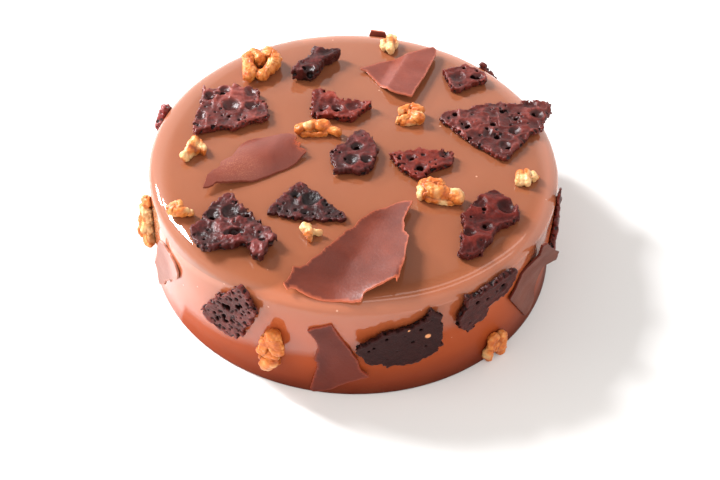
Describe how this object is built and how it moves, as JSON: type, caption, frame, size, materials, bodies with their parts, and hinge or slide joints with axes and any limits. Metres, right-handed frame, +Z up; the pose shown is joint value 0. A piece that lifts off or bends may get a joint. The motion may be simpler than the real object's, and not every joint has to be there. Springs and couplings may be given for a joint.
{
  "type": "chocolate entremet",
  "caption": "Round mousse cake under a glossy caramel glaze, with broken aerated chocolate, smooth chocolate shards and walnut kernels on its top and wall.",
  "frame": {"origin": "centre of the flat round underside", "axes": "+Z up out of the cake's top; -Y towards the side the picture shows; +X to the right of that view"},
  "size_m": [0.2092, 0.2074, 0.0693],
  "materials": {
    "glaze": "mirror-glossy caramel glaze",
    "aerated_chocolate": "porous dark milk chocolate with open bubbles, glossy where it is solid",
    "smooth_chocolate": "smooth milk chocolate with a soft sheen",
    "walnut": "creased kernel, amber skin and cream broken flesh"
  },
  "bodies": {
    "root": {"cake": "glaze", "aerated_01": "aerated_chocolate", "aerated_02": "aerated_chocolate", "aerated_03": "aerated_chocolate", "aerated_04": "aerated_chocolate", "aerated_05": "aerated_chocolate", "aerated_06": "aerated_chocolate", "aerated_07": "aerated_chocolate", "aerated_08": "aerated_chocolate", "aerated_09": "aerated_chocolate", "aerated_10": "aerated_chocolate", "aerated_11": "aerated_chocolate", "aerated_12": "aerated_chocolate", "aerated_13": "aerated_chocolate", "aerated_14": "aerated_chocolate", "aerated_15": "aerated_chocolate", "aerated_16": "aerated_chocolate", "shard_01": "smooth_chocolate", "shard_02": "smooth_chocolate", "shard_03": "smooth_chocolate", "shard_04": "smooth_chocolate", "shard_05": "smooth_chocolate", "shard_06": "smooth_chocolate", "shard_07": "smooth_chocolate", "walnut_01": "walnut", "walnut_02": "walnut", "walnut_03": "walnut", "walnut_04": "walnut", "walnut_05": "walnut", "walnut_06": "walnut", "walnut_07": "walnut", "walnut_08": "walnut", "walnut_09": "walnut", "walnut_10": "walnut", "walnut_11": "walnut", "walnut_12": "walnut"}
  },
  "joints": []
}
